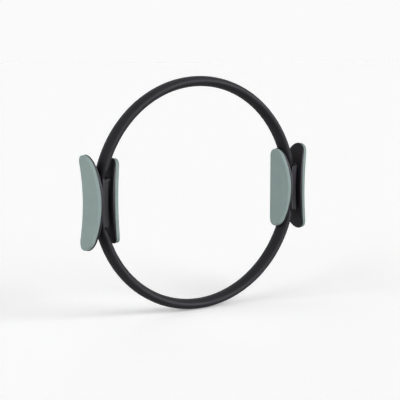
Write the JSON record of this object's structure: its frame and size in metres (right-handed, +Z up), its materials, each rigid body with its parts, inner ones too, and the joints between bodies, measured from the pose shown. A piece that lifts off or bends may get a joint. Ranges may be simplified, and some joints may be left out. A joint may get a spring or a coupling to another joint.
{
  "type": "pilates ring",
  "caption": "Flexible foam-covered training hoop with a double-sided padded handle on each side, squeezed from outside or pressed apart from inside against its spring leaves.",
  "frame": {"origin": "centre of the hoop, on its axis and midway across its width", "axes": "+X through the right handle, +Y along the hoop's axis, +Z up through the crown of the upper bow"},
  "size_m": [0.3958, 0.0524, 0.361],
  "materials": {
    "spring_steel": "tempered strip, blued",
    "sleeve_foam": "closed-cell foam, matte charcoal",
    "shell_plastic": "moulded, fine satin",
    "pad_green": "soft-touch moulded pad, matte sage green",
    "fastener_steel": "zinc plated"
  },
  "bodies": {
    "hoop_with_left_handle": {"outer_leaf": "spring_steel", "inner_leaf": "spring_steel", "upper_sleeve": "sleeve_foam", "lower_sleeve": "sleeve_foam", "left_outer_shell": "shell_plastic", "left_inner_shell": "shell_plastic", "left_outer_pad": "pad_green", "left_inner_pad": "pad_green", "left_screws": "fastener_steel", "left_leaf_rivets": "fastener_steel"},
    "right_handle": {"right_outer_shell": "shell_plastic", "right_inner_shell": "shell_plastic", "right_outer_pad": "pad_green", "right_inner_pad": "pad_green", "right_screws": "fastener_steel", "right_leaf_rivets": "fastener_steel"}
  },
  "joints": [
    {"name": "squeeze", "type": "slide", "parent": "hoop_with_left_handle", "child": "right_handle", "axis": [-1, 0, 0], "range_m": [-0.03, 0.08], "stiffness_N_per_m": 1800, "deforming": ["upper_sleeve", "lower_sleeve", "outer_leaf", "inner_leaf"]}
  ]
}
